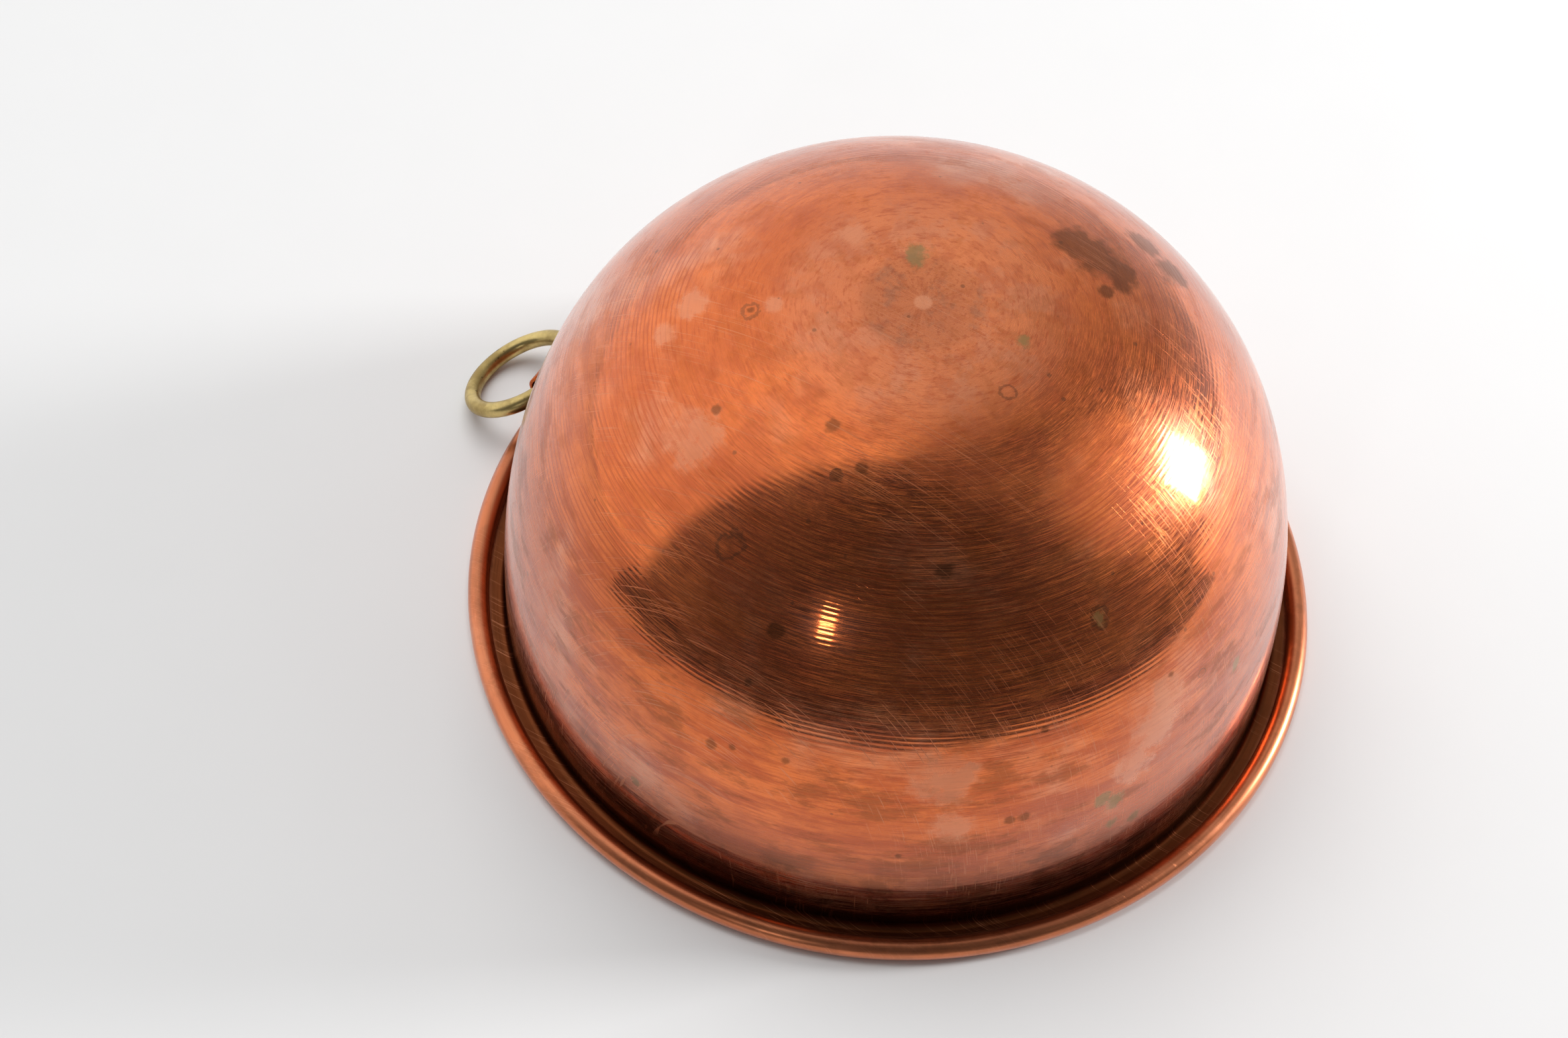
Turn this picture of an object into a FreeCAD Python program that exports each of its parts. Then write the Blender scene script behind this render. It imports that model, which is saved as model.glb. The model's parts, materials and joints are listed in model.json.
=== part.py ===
import FreeCAD, Part
import math
import os

# A spun copper whisking bowl, upside down on its rolled rim, with one brass hanging ring in a
# folded copper lug. Millimetres. Z is up, the origin is the centre of the circle the rim rests on,
# and the lug and its ring are on the -X side, so XZ is the plane of symmetry.

Vec = FreeCAD.Vector

# ---- driving dimensions: the spun bowl -----------------------------------------------------------
rim_radius = 130.0  # outside of the rolled bead
wall_radius = 118.4  # outside of the wall, where it meets the rim
crown_height = 137.4  # height the wall's curve would close at, over the middle of the bottom
fullness = 2.645  # exponent of the wall's curve: 2 is an ellipse, more is a squarer shoulder
base_radius = 16.5  # the flat pressed in the middle of the bottom
sheet = 1.2  # copper sheet

# ---- driving dimensions: the rolled rim ----------------------------------------------------------
bead_radius = 3.25  # outside radius of the roll
bead_wrap = 300.0  # degrees of roll, from its lowest line outwards and over
cove_radius = 2.5  # the groove's radius between wall and rim flange

# ---- driving dimensions: ring, lug and rivets ----------------------------------------------------
ring_radius = 17.7  # to the middle of the ring's wire
ring_wire = 5.2  # diameter of the ring's wire
hinge_height = 20.9  # height of the lug's eye
strap = 1.2  # thickness of the lug's strip
strap_width = 16.0
throat_angle = 27.0  # lean of the outer leaf between the eye and the wall, from the vertical
strap_corner = 2.5
lug_above_rivets = 6.0  # from the rivets to where both leaves end
rivet_spacing = 8.0
rivet_shank = 3.0  # diameter
head_radius = 3.0  # the outer, domed head
head_height = 1.7
inner_head_radius = 3.6  # the head hammered flat inside the bowl
inner_head_height = 0.8
inner_head_sink = 0.05  # how far the inner head's seat is drawn into the sheet, at its shallow side

# ---- clearances ----------------------------------------------------------------------------------
wire_clearance = 0.05  # around the steel wire in the bead
eye_clearance = 0.25  # between the curved ring and the lug's eye, all round
leaf_gap = 0.1  # between the lug's two leaves
head_clearance = 0.01  # under the domed heads
throat_clearance = 0.77  # from where the outer leaf meets the first to the domed heads' edges
bead_clearance = 0.3  # under the ring, on a rim so wide that the ring lies on the bead


def wall_radius_at(z):
    """Outside radius of the wall at height z: a superellipse with its widest line on the rim."""
    share = 1.0 - (z / crown_height) ** fullness
    return wall_radius * share ** (1.0 / fullness)


def wall_height_at(r):
    """Height of the wall's outside at radius r: the same curve, read the other way."""
    share = 1.0 - (r / wall_radius) ** fullness
    return crown_height * share ** (1.0 / fullness)


def wall_normal(r, z):
    """Outward unit normal (radial, up) of the wall's curve at (r, z)."""
    nr = (r / wall_radius) ** (fullness - 1.0) / wall_radius
    nz = (z / crown_height) ** (fullness - 1.0) / crown_height
    length = math.hypot(nr, nz)
    return nr / length, nz / length


def off_wall(z, out):
    """(r, z) of the point that stands out by out mm from the wall's outside at height z."""
    r = wall_radius_at(z)
    nr, nz = wall_normal(r, z)
    return r + out * nr, z + out * nz


def polar(centre, radius, degrees):
    """A point (r, z) on a circle, with 0 pointing outwards and 90 up."""
    angle = math.radians(degrees)
    return centre[0] + radius * math.cos(angle), centre[1] + radius * math.sin(angle)


# ---- worked out from the above -------------------------------------------------------------------
base_height = wall_height_at(base_radius)
cove_top = sheet + cove_radius
bead_centre = rim_radius - bead_radius
rim_wire_radius = bead_radius - sheet - wire_clearance
wire_radius = ring_wire / 2

# The eye is a straight tube and the ring is curved, so the hinge line lies midway between the
# ring's outside at the eye's middle and its inside at the eye's ends.
outside_at_middle = ring_radius + wire_radius
inside_at_ends = math.sqrt((ring_radius - wire_radius) ** 2 - (strap_width / 2) ** 2)
hinge_to_centre = (outside_at_middle + inside_at_ends) / 2
eye_radius = (outside_at_middle - inside_at_ends) / 2 + eye_clearance
hinge_radius = wall_radius_at(hinge_height) + strap + eye_radius


def tilt_on_ground():
    """The ring's tilt in degrees below the horizontal, with its far side on the ground."""
    return math.degrees(math.asin((hinge_height - wire_radius) / (ring_radius + hinge_to_centre)))


def tilt_on_bead():
    """The steepest tilt in degrees that the bead, which the ring passes over, allows it."""
    across, down = bead_centre - hinge_radius, hinge_height - bead_radius
    apart = wire_radius + bead_radius + bead_clearance
    return math.degrees(math.atan2(down, across) - math.asin(apart / math.hypot(across, down)))


ring_tilt = math.radians(min(tilt_on_ground(), tilt_on_bead()))
eye = (hinge_radius, hinge_height)
pad = 2 * strap + leaf_gap  # how far the outer leaf's face stands off the wall


def throat(radius, out):
    """Where the lug's straight throat leaves a circle round the eye, and the height of its foot.

    At its foot it reaches the line that stands out from the wall. Halving finds the height.
    """
    r0, z0 = polar(eye, radius, throat_angle)
    lean = math.radians(throat_angle)
    low, high = z0, crown_height / 2
    for _ in range(40):
        z = (low + high) / 2
        r, height = off_wall(z, out)
        if r0 - (height - z0) * math.tan(lean) > r:
            low = z
        else:
            high = z
    return (r0, z0), low


pad_foot = throat(eye_radius + strap, pad)[1]
rivet_height = pad_foot + throat_clearance + head_radius
lug_top = rivet_height + lug_above_rivets


def at(r, z):
    """A point of the lug's side view, which is drawn on the -X side."""
    return Vec(-r, 0, z)


def arc3(a, b, c):
    return Part.Arc(a, b, c).toShape()


def line(a, b):
    return Part.LineSegment(a, b).toShape()


def section_point(rz):
    return Vec(rz[0], 0, rz[1])


def section_arc(centre, radius, first, last):
    """An arc of the bowl's section, from the first angle to the last."""
    angles = (first, (first + last) / 2, last)
    return arc3(*[section_point(polar(centre, radius, angle)) for angle in angles])


def wall_curve(inset, end):
    """The wall's curve, inset from its outside, from the top of the cove to the end point (r, z)."""
    first = math.asin((cove_top / crown_height) ** (fullness / 2))
    last = math.acos((base_radius / wall_radius) ** (fullness / 2))
    count = 15
    points = [Vec(wall_radius_at(cove_top) - inset, 0, cove_top)]
    for k in range(1, count):
        angle = first + (last - first) * k / count
        r = wall_radius * math.cos(angle) ** (2 / fullness)
        z = crown_height * math.sin(angle) ** (2 / fullness)
        nr, nz = wall_normal(r, z)
        points.append(Vec(r - inset * nr, 0, z - inset * nz))
    points.append(section_point(end))
    nr, nz = wall_normal(base_radius, base_height)
    curve = Part.BSplineCurve()
    curve.interpolate(Points=points, InitialTangent=Vec(0, 0, 1), FinalTangent=Vec(-nz, 0, nr))
    return curve.toShape()


def make_shell():
    """The bowl: flat bottom, wall, cove and rolled bead, one sheet thick, turned round Z."""
    r_cove = wall_radius_at(cove_top)
    cove = (r_cove + cove_radius, cove_top)
    bead = (bead_centre, bead_radius)
    roll_end = -90 + bead_wrap
    outer_flat = (base_radius, base_height)
    inner_flat = (base_radius - sheet * wall_normal(*outer_flat)[0], base_height - sheet)
    edges = [
        line(Vec(0, 0, base_height - sheet), Vec(0, 0, base_height)),
        line(Vec(0, 0, base_height), section_point(outer_flat)),
        wall_curve(0, outer_flat),
        section_arc(cove, cove_radius, 180, 270),
        line(section_point((cove[0], sheet)), section_point((bead_centre, sheet))),
        section_arc(bead, bead_radius - sheet, -90, roll_end),
        line(
            section_point(polar(bead, bead_radius - sheet, roll_end)),
            section_point(polar(bead, bead_radius, roll_end)),
        ),
        section_arc(bead, bead_radius, roll_end, -90),
        line(section_point((bead_centre, 0)), section_point((cove[0], 0))),
        section_arc(cove, cove_radius + sheet, 270, 180),
        wall_curve(sheet, inner_flat),
        line(section_point(inner_flat), Vec(0, 0, base_height - sheet)),
    ]
    outline = Part.Wire(Part.__sortEdges__(edges))
    return Part.Face(outline).revolve(Vec(0, 0, 0), Vec(0, 0, 1), 360)


def leaf_arc(out, low, high):
    """One face of a leaf: an arc that keeps its distance from the wall between two heights."""
    return [at(*off_wall(z, out)) for z in (low, (low + high) / 2, high)]


def make_lug(bowl):
    """One strip folded round the ring: a leaf on the wall, the eye, and a leaf back up on the first."""
    outer = eye_radius + strap
    out_start = at(*throat(outer, pad)[0])
    in_start, gap_foot = throat(eye_radius, strap + leaf_gap)
    # The wall side starts inside the wall and is then cut by it, so it seats without a gap.
    wall_side = leaf_arc(-sheet / 2, hinge_height, lug_top)
    first_leaf = leaf_arc(strap, hinge_height, lug_top)
    under_leaf = leaf_arc(strap + leaf_gap, gap_foot, lug_top)
    outer_leaf = leaf_arc(pad, pad_foot, lug_top)
    eye_low = (throat_angle - 180) / 2
    edges = [
        arc3(*wall_side),
        line(wall_side[0], at(*polar(eye, outer, 180))),
        arc3(at(*polar(eye, outer, 180)), at(*polar(eye, outer, eye_low)), out_start),
        line(out_start, outer_leaf[0]),
        arc3(*outer_leaf),
        line(outer_leaf[2], under_leaf[2]),
        arc3(*under_leaf),
        line(under_leaf[0], at(*in_start)),
        arc3(at(*in_start), at(*polar(eye, eye_radius, eye_low)), first_leaf[0]),
        arc3(*first_leaf),
        line(first_leaf[2], wall_side[2]),
    ]
    outline = Part.Wire(Part.__sortEdges__(edges))
    strip = Part.Face(outline).extrude(Vec(0, strap_width, 0))
    strip.translate(Vec(0, -strap_width / 2, 0))
    strip = strip.cut(bowl_filled(bowl))
    corners = []
    for edge in strip.Edges:
        middle = edge.CenterOfMass
        along = edge.Vertexes[0].Point - edge.Vertexes[-1].Point
        at_side = abs(abs(middle.y) - strap_width / 2) < 0.01
        if at_side and middle.z > lug_top - 0.5 and abs(along.y) < 0.01 and edge.Length < strap * 1.5:
            corners.append(edge)
    return strip.makeFillet(strap_corner, corners)


def bowl_filled(bowl):
    """The bowl with its hollow filled, which is what the lug's strip is cut by."""
    inside = Part.makeCylinder(wall_radius_at(lug_top) - sheet, lug_top + strap)
    return bowl.fuse(inside)


def rivet_frame(y):
    """Where a rivet crosses the wall's outside, and its direction out of the bowl."""
    r = wall_radius_at(rivet_height)
    nr, nz = wall_normal(r, rivet_height)
    return Vec(-r, y, rivet_height), Vec(-nr, 0, nz)


def leaf_face_at_rivet():
    """How far along a rivet's axis the outer leaf's face is from the wall's outside."""
    point, out = rivet_frame(0)
    face = arc3(*leaf_arc(pad, pad_foot, lug_top)).Curve
    away = point - face.Center
    along = away.dot(out)
    return math.sqrt(along**2 - away.dot(away) + face.Radius**2) - along


def shank_hole(y):
    """The drilled way of one rivet, through the wall and both leaves."""
    point, out = rivet_frame(y)
    return Part.makeCylinder(rivet_shank / 2, 4 * sheet + 2 * strap, point - out * 3 * sheet, out)


def make_rivet(y):
    """A shank through wall and lug, a domed head outside and a low hammered one inside."""
    seat = leaf_face_at_rivet() + head_clearance
    inner_seat = inner_head_sink - sheet
    inner_top = -sheet - inner_head_height
    # Half of the rivet's section, drawn with its axis on Z and the wall's outside at height 0.
    dome = section_cap(head_radius, seat, seat + head_height)
    flat = section_cap(inner_head_radius, inner_top / 2 + inner_seat / 2, inner_top)
    edges = [
        dome,
        line(Vec(head_radius, 0, seat), Vec(rivet_shank / 2, 0, seat)),
        line(Vec(rivet_shank / 2, 0, seat), Vec(rivet_shank / 2, 0, inner_seat)),
        line(Vec(rivet_shank / 2, 0, inner_seat), Vec(inner_head_radius, 0, inner_seat)),
        line(Vec(inner_head_radius, 0, inner_seat), flat.Vertexes[0].Point),
        flat,
        line(Vec(0, 0, inner_top), Vec(0, 0, seat + head_height)),
    ]
    outline = Part.Wire(Part.__sortEdges__(edges))
    rivet = Part.Face(outline).revolve(Vec(0, 0, 0), Vec(0, 0, 1), 360)
    point, out = rivet_frame(y)
    rivet.Placement = FreeCAD.Placement(point, FreeCAD.Rotation(Vec(0, 0, 1), out))
    return rivet


def section_cap(radius, edge, top):
    """The arc of a domed cap, from its edge to the axis, level with the top there."""
    rise = top - edge
    ball = (radius**2 + rise**2) / (2 * rise)
    half = math.asin(radius / ball) / 2
    middle = Vec(abs(ball) * abs(math.sin(half)), 0, top - ball * (1 - math.cos(half)))
    return arc3(Vec(radius, 0, edge), middle, Vec(0, 0, top))


def make_ring():
    """The hanging ring, lying with its far side on the ground the bowl stands on, or on the bead."""
    centre_r = hinge_radius + hinge_to_centre * math.cos(ring_tilt)
    centre_z = hinge_height - hinge_to_centre * math.sin(ring_tilt)
    normal = Vec(-math.sin(ring_tilt), 0, math.cos(ring_tilt))
    return Part.makeTorus(ring_radius, wire_radius, at(centre_r, centre_z), normal)


def export(name, shape):
    solid = shape.Solids[0]
    print(f"{name}: {len(shape.Solids)} solid, valid {solid.isValid()}, {solid.Volume:.1f} mm3")
    solid.exportStep(os.path.join("parts", name + ".step"))


def main():
    os.makedirs("parts", exist_ok=True)
    bowl = make_shell()
    lug = make_lug(bowl)
    rivets = {"rivet_right": -rivet_spacing / 2, "rivet_left": rivet_spacing / 2}
    holes = [shank_hole(y) for y in rivets.values()]
    # The inner heads are drawn a little way into the sheet, so the wall is cut by the whole rivets.
    bodies = [make_rivet(y) for y in rivets.values()]
    for name, rivet in zip(rivets, bodies):
        export(name, rivet)
    export("bowl_shell", bowl.cut(bodies))
    export("ring_lug", lug.cut(holes))
    export("rim_wire", Part.makeTorus(bead_centre, rim_wire_radius, Vec(0, 0, bead_radius)))
    export("hanging_ring", make_ring())
    print(f"ring tilt {math.degrees(ring_tilt):.2f} degrees, eye radius {eye_radius:.3f}")
    print(f"hinge at r {hinge_radius:.3f} z {hinge_height:.3f}, bottom flat at {base_height:.3f}")
    print(f"rivets at {rivet_height:.3f}, lug ends at {lug_top:.3f}")


main()
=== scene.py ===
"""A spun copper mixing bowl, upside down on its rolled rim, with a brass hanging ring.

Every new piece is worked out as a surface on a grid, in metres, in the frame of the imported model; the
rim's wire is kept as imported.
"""

import json
import math

import bpy
import numpy as np
from mathutils import Matrix, Vector


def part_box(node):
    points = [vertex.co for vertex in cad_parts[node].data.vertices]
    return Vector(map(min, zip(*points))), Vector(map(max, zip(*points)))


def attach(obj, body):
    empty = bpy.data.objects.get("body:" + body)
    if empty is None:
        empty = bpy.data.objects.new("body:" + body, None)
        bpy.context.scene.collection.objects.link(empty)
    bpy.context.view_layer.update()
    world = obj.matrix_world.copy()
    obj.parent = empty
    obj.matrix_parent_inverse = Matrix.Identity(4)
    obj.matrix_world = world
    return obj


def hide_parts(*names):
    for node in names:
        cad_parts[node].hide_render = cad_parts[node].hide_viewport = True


bl_info = {
    "name": "Copper Mixing Bowl",
    "version": (1, 0, 0),
    "blender": (4, 5, 0),
    "location": "View3D > Sidebar > Bowl",
    "description": "A spun copper mixing bowl with a rolled rim and a hanging ring in a riveted lug",
    "category": "Object",
}

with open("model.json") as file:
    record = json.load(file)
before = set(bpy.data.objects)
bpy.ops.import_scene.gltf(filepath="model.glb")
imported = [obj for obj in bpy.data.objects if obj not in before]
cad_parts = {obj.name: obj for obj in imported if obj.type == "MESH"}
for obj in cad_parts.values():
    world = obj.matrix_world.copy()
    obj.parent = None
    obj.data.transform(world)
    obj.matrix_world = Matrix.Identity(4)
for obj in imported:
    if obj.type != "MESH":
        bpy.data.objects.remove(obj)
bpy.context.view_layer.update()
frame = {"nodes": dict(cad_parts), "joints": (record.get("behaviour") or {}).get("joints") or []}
SHELL_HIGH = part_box("bowl_shell")[1]
RING_LOW, RING_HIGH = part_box("hanging_ring")
LUG_LOW, LUG_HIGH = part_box("ring_lug")
HINGE = Vector(frame["joints"][0]["pos_m"])
MM = 0.001

# Points nearer the axis than this are left to the pole that closes the surface.
POLE_GAP = 0.8 * MM
# Straight edges of the rivets' heads under their domes, and how far the inner heads sink in.
HEAD_EDGE, INNER_HEAD_EDGE, HEAD_BITE = 0.25 * MM, 0.4 * MM, 0.05 * MM
# The lug's box ends this much above the end of its middle line, because the strip leans inwards.
LUG_TOP_GAP = 0.4 * MM

# Distances along the shell's section from the middle of the bottom, where each effect starts and ends.
CROWN_DULL = (48 * MM, 30 * MM)
TAIL_DOT = (3 * MM, 2 * MM)
LOW_WALL = (90 * MM, 150 * MM)
TOOL_LINES_START = (45 * MM, 80 * MM)
TOOL_LINES_FADE = (120 * MM, 150 * MM)
# Distances from the groove of the rim, between which painted shade in the groove and a band of painted
# shade and tarnish above it set in.
GROOVE_SHADE_REACH = (6.5 * MM, 4 * MM)
SHADE_BAND_REACH = (38 * MM, 16 * MM)
# Pitches of the marks that run round the bowl, and depths of what the light picks out.
TOOL_PITCH, STREAK_PITCH, HAIRLINE_PITCH = 1.6 * MM, 9 * MM, 0.12 * MM
TOOL_DEPTH, SWELL_DEPTH, GRAIN_DEPTH, PIT_DEPTH = 0.012 * MM, 0.12 * MM, 0.02 * MM, 0.03 * MM
# The scratches' directions, as turns in radians, and the noise's scale along, across and through one.
SCRATCH_TURNS = ((0.4, 0.2, 0.9), (1.3, 0.7, 2.4), (0.1, 1.1, 3.9))
SCRATCH_STRETCH = (40.0, 4800.0, 110.0)
BRASS_PIT = (0.10, 0.06, 0.025)
STEEL_DARK, STEEL_LIGHT = (0.30, 0.29, 0.28), (0.48, 0.47, 0.46)

# Levels of the room's wall by azimuth, in degrees.
WALL_LEVELS = (
    (-180, 1.15), (-155, 1.08), (-120, 1.0), (-60, 0.8), (10, 0.3),
    (58, 0.30), (74, 0.42), (92, 0.60), (112, 0.82), (150, 1.05), (180, 1.15),
)
# Name, azimuth, elevation, distance, size, watts and whether reflections see it.
LIGHTS = (
    ("softbox", 41, 17, 2.2, (0.46, 0.66), 38, True),
    ("window", -82, 27, 2.0, (0.12, 0.20), 1.1, True),
    ("ceiling", 140, 67, 2.2, (2.0, 2.0), 27, False),
)
# The dark sheet in front of the bowl: its inner and outer radius, and its azimuths in degrees.
DARK_NEAR, DARK_FAR, DARK_FROM, DARK_TO = 0.46, 3.5, -136, 24


# ---- sizes and finishes that a user would change ------------------------------------------------


def length(name, description, default):
    """A length in metres, shown in the scene's units."""
    return bpy.props.FloatProperty(
        name=name, description=description, default=default, min=0.0, unit="LENGTH", precision=5
    )


def angle(name, description, degrees):
    """An angle, kept in radians and shown in degrees."""
    return bpy.props.FloatProperty(
        name=name, description=description, default=math.radians(degrees), subtype="ANGLE"
    )


def share(name, description, default, most=1.0):
    """A plain number from 0 to its most."""
    return bpy.props.FloatProperty(
        name=name, description=description, default=default, min=0.0, max=most, precision=4
    )


def colour(name, description, default):
    """A linear colour."""
    return bpy.props.FloatVectorProperty(
        name=name, description=description, default=default, subtype="COLOR", size=3, min=0.0, max=1.0
    )


class BowlSizes(bpy.types.PropertyGroup):
    """The spun bowl and its rolled rim."""

    rim_radius: length("Rim radius", "Outside of the rolled bead", SHELL_HIGH.x)
    base_height: length("Base height", "Height of the flat in the middle of the bottom", SHELL_HIGH.z)
    wall_radius: length("Wall radius", "Outside of the wall where it meets the rim", 118.4 * MM)
    crown_height: length("Crown height", "Where the wall's curve would close", 137.4 * MM)
    fullness: share("Fullness", "Exponent of the wall's curve", 2.645, 10.0)
    base_radius: length("Base radius", "The flat in the middle of the bottom", 16.5 * MM)
    sheet: length("Sheet", "Thickness of the copper", 1.2 * MM)
    bead_radius: length("Bead radius", "Outside radius of the rolled bead", 3.25 * MM)
    bead_wrap: angle("Bead wrap", "How far the bead is rolled", 300)
    cove_radius: length("Cove radius", "Of the groove between wall and flange", 2.5 * MM)
    sides: bpy.props.IntProperty(name="Sides", description="Steps round the bowl", default=256, min=48)


class FittingSizes(bpy.types.PropertyGroup):
    """The hanging ring, its lug and the rivets."""

    ring_wire: length("Ring wire", "Diameter of the ring's wire", 5.2 * MM)
    strap: length("Strap", "Thickness of the lug's strip", 1.2 * MM)
    strap_width: length("Strap width", "Width of the lug's strip", LUG_HIGH.y - LUG_LOW.y)
    strap_corner: length("Strap corner", "Rounding of the strip's corners", 2.5 * MM)
    strap_edge: length("Strap edge", "Softening of the strip's long edges", 0.35 * MM)
    throat_angle: angle("Throat angle", "Lean of the outer leaf above the eye", 27)
    leaf_gap: length("Leaf gap", "Between the lug's two leaves", 0.1 * MM)
    rivet_height: length("Rivet height", "Where the rivets cross the wall", 44.0 * MM)
    rivet_spacing: length("Rivet spacing", "Between the rivets' axes", 8.0 * MM)
    shank_radius: length("Shank radius", "Of the rivets' shanks", 1.5 * MM)
    head_radius: length("Head radius", "Of the rivets' outer heads", 3.0 * MM)
    head_height: length("Head height", "Of the rivets' outer heads", 1.7 * MM)
    inner_head_radius: length("Inner head radius", "Of the heads inside the bowl", 3.6 * MM)
    inner_head_height: length("Inner head height", "Of the heads inside the bowl", 0.8 * MM)


class BowlFinish(bpy.types.PropertyGroup):
    """Colours and polish of the metals."""

    copper: colour("Copper", "Polished spun copper", (0.84, 0.205, 0.050))
    copper_deep: colour("Deep copper", "Copper darkened by age", (0.52, 0.10, 0.028))
    patina: colour("Patina", "Brown film in streaks round the bowl", (0.34, 0.09, 0.03))
    copper_pale: colour("Pale copper", "Copper gone dull and pinkish", (0.82, 0.33, 0.17))
    # Brown tarnish of the specks, spots, rings and the flat; the same colour paints the shade band above
    # the groove and the dark reflections on the upper right.
    oxide_shade_and_reflection: colour("Oxide", "Brown tarnish", (0.16, 0.055, 0.022))
    verdigris: colour("Verdigris", "Olive-green stains", (0.29, 0.21, 0.075))
    polish: share("Copper roughness", "Roughness of the polished copper", 0.055)
    hairline_roughness: share("Hairline roughness", "Roughness of the fine scratches in it", 0.46)
    hairline_share: share("Hairlines", "How much of the copper the fine scratches cover", 0.38)
    spin_stretch: share("Spin stretch", "How far the spinning lines draw reflections out", 0.3)
    film: share("Film", "A thin film of dust and grease that pales the copper", 1.0)
    film_index: bpy.props.FloatProperty(
        name="Film index", description="Refractive index of that film", default=2.0, min=1.0, max=3.0
    )
    rim_copper: colour("Rim copper", "Browner, duller copper of the rolled rim", (0.86, 0.30, 0.14))
    # Painted shade in the groove of the rim, where the deep channel lies in shade.
    groove_shade: colour("Grime", "What has gathered in the groove of the rim", (0.13, 0.036, 0.012))
    brass: colour("Brass", "Clean brass of the ring", (0.68, 0.52, 0.21))
    brass_aged: colour("Aged brass", "Olive-brown brass in the hollows", (0.38, 0.27, 0.10))
    brass_polish: share("Brass roughness", "Roughness of the ring", 0.3)


class StageSettings(bpy.types.PropertyGroup):
    """The view, the floor and the lights."""

    view_azimuth: angle("View azimuth", "Round the bowl; at 0 the view is along +Y", 28.1)
    view_elevation: angle("View elevation", "Above the floor", 54.42)
    view_roll: angle("View roll", "Turn of the camera about its own line of sight", 3.85)
    view_distance: length("View distance", "From the camera to the point it aims at", 0.866)
    aim_left: length("Aim left", "How far left of the bowl's foot the camera aims", 32.4 * MM)
    aim_up: length("Aim up", "How far above the bowl's foot the camera aims", 20.8 * MM)
    lens: bpy.props.FloatProperty(name="Lens", description="Focal length in mm", default=63.85)
    floor_size: length("Floor size", "Side of the pale floor", 8.0)
    floor_shade: share("Floor shade", "How pale the floor is", 0.80)


# ---- shapes -------------------------------------------------------------------------------------


def wall_radius_at(bowl, z):
    """Outside radius of the wall at height z: a superellipse, r = R (1 - (z / H)^n)^(1 / n)."""
    left = 1.0 - (z / bowl.crown_height) ** bowl.fullness
    return bowl.wall_radius * left ** (1.0 / bowl.fullness)


def wall_normal(bowl, r, z):
    """Outward normal (radial, up) of the wall's curve: the gradient of (r/R)^n + (z/H)^n."""
    nr = (r / bowl.wall_radius) ** (bowl.fullness - 1.0) / bowl.wall_radius
    nz = (z / bowl.crown_height) ** (bowl.fullness - 1.0) / bowl.crown_height
    size = np.hypot(nr, nz)
    return nr / size, nz / size


def off_wall(bowl, z, out):
    """The point (r, z) that stands out by out from the wall's outside at height z."""
    r = wall_radius_at(bowl, z)
    nr, nz = wall_normal(bowl, r, z)
    return np.stack([r + out * nr, z + out * nz], axis=-1)


def arc(centre, radius, first, last, steps):
    """Points (r, z) on a circle from one angle to another, in degrees, 0 outwards and 90 up."""
    turn = np.radians(np.linspace(first, last, steps))
    return np.stack([centre[0] + radius * np.cos(turn), centre[1] + radius * np.sin(turn)], axis=-1)


def straight(a, b, steps):
    """Evenly spaced points from a to b, without b."""
    t = np.linspace(0, 1, steps, endpoint=False)[:, None]
    return np.asarray(a) * (1 - t) + np.asarray(b) * t


def quads(rows, columns, wrap_rows):
    """Corner indices of the faces of a grid whose columns close on themselves."""
    row = np.arange(rows if wrap_rows else rows - 1)[:, None]
    column = np.arange(columns)[None, :]
    a = row * columns + column
    b = row * columns + (column + 1) % columns
    step = ((row + 1) % rows - row) * columns
    return np.stack([a, b, b + step, a + step], axis=-1).reshape(-1, 4)


def surface_object(name, grid, wrap_rows=False, poles=None, along=None, sharp=40):
    """A closed mesh from a grid of points (rows, columns, 3) whose columns close on themselves.

    poles are two points that close the first and last row. along is one number a row, kept on
    the points as the attribute "along".
    """
    rows, columns = grid.shape[:2]
    points = grid.reshape(-1, 3)
    faces = quads(rows, columns, wrap_rows).tolist()
    values = None if along is None else np.repeat(along, columns)
    if poles is not None:
        first, last = len(points), len(points) + 1
        points = np.concatenate([points, np.asarray(poles)])
        ring = np.arange(columns)
        after = (ring + 1) % columns
        end = (rows - 1) * columns
        faces += np.stack([after, ring, np.full(columns, first)], axis=-1).tolist()
        faces += np.stack([end + ring, end + after, np.full(columns, last)], axis=-1).tolist()
        if values is not None:
            values = np.concatenate([values, [along[0], along[-1]]])
    mesh = bpy.data.meshes.new(name)
    mesh.from_pydata(points.tolist(), [], faces)
    if enclosed_volume(mesh) < 0:
        mesh.flip_normals()
    if values is not None:
        kept = mesh.attributes.new("along", "FLOAT", "POINT")
        kept.data.foreach_set("value", values.astype(np.float32))
    mesh.shade_smooth()
    mesh.set_sharp_from_angle(angle=math.radians(sharp))
    mesh.validate()
    piece = bpy.data.objects.new(name, mesh)
    bpy.context.scene.collection.objects.link(piece)
    return piece


def enclosed_volume(mesh):
    """Signed volume: the sum over triangles of a . (b x c) / 6, below 0 if the faces point inwards."""
    mesh.calc_loop_triangles()
    corners = np.empty(len(mesh.loop_triangles) * 3, np.int32)
    mesh.loop_triangles.foreach_get("vertices", corners)
    points = np.empty(len(mesh.vertices) * 3, np.float32)
    mesh.vertices.foreach_get("co", points)
    a, b, c = points.reshape(-1, 3)[corners].reshape(-1, 3, 3).transpose(1, 0, 2).astype(float)
    return float(np.einsum("ij,ij->i", a, np.cross(b, c)).sum() / 6)


def lathe(profile, sides):
    """A grid turned round Z from a profile of (r, z): (r cos a, r sin a, z)."""
    turn = np.linspace(0, 2 * math.pi, sides, endpoint=False)
    r, z = profile[:, 0][:, None], profile[:, 1][:, None]
    return np.stack([r * np.cos(turn), r * np.sin(turn), z + 0 * turn], axis=-1)


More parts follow.
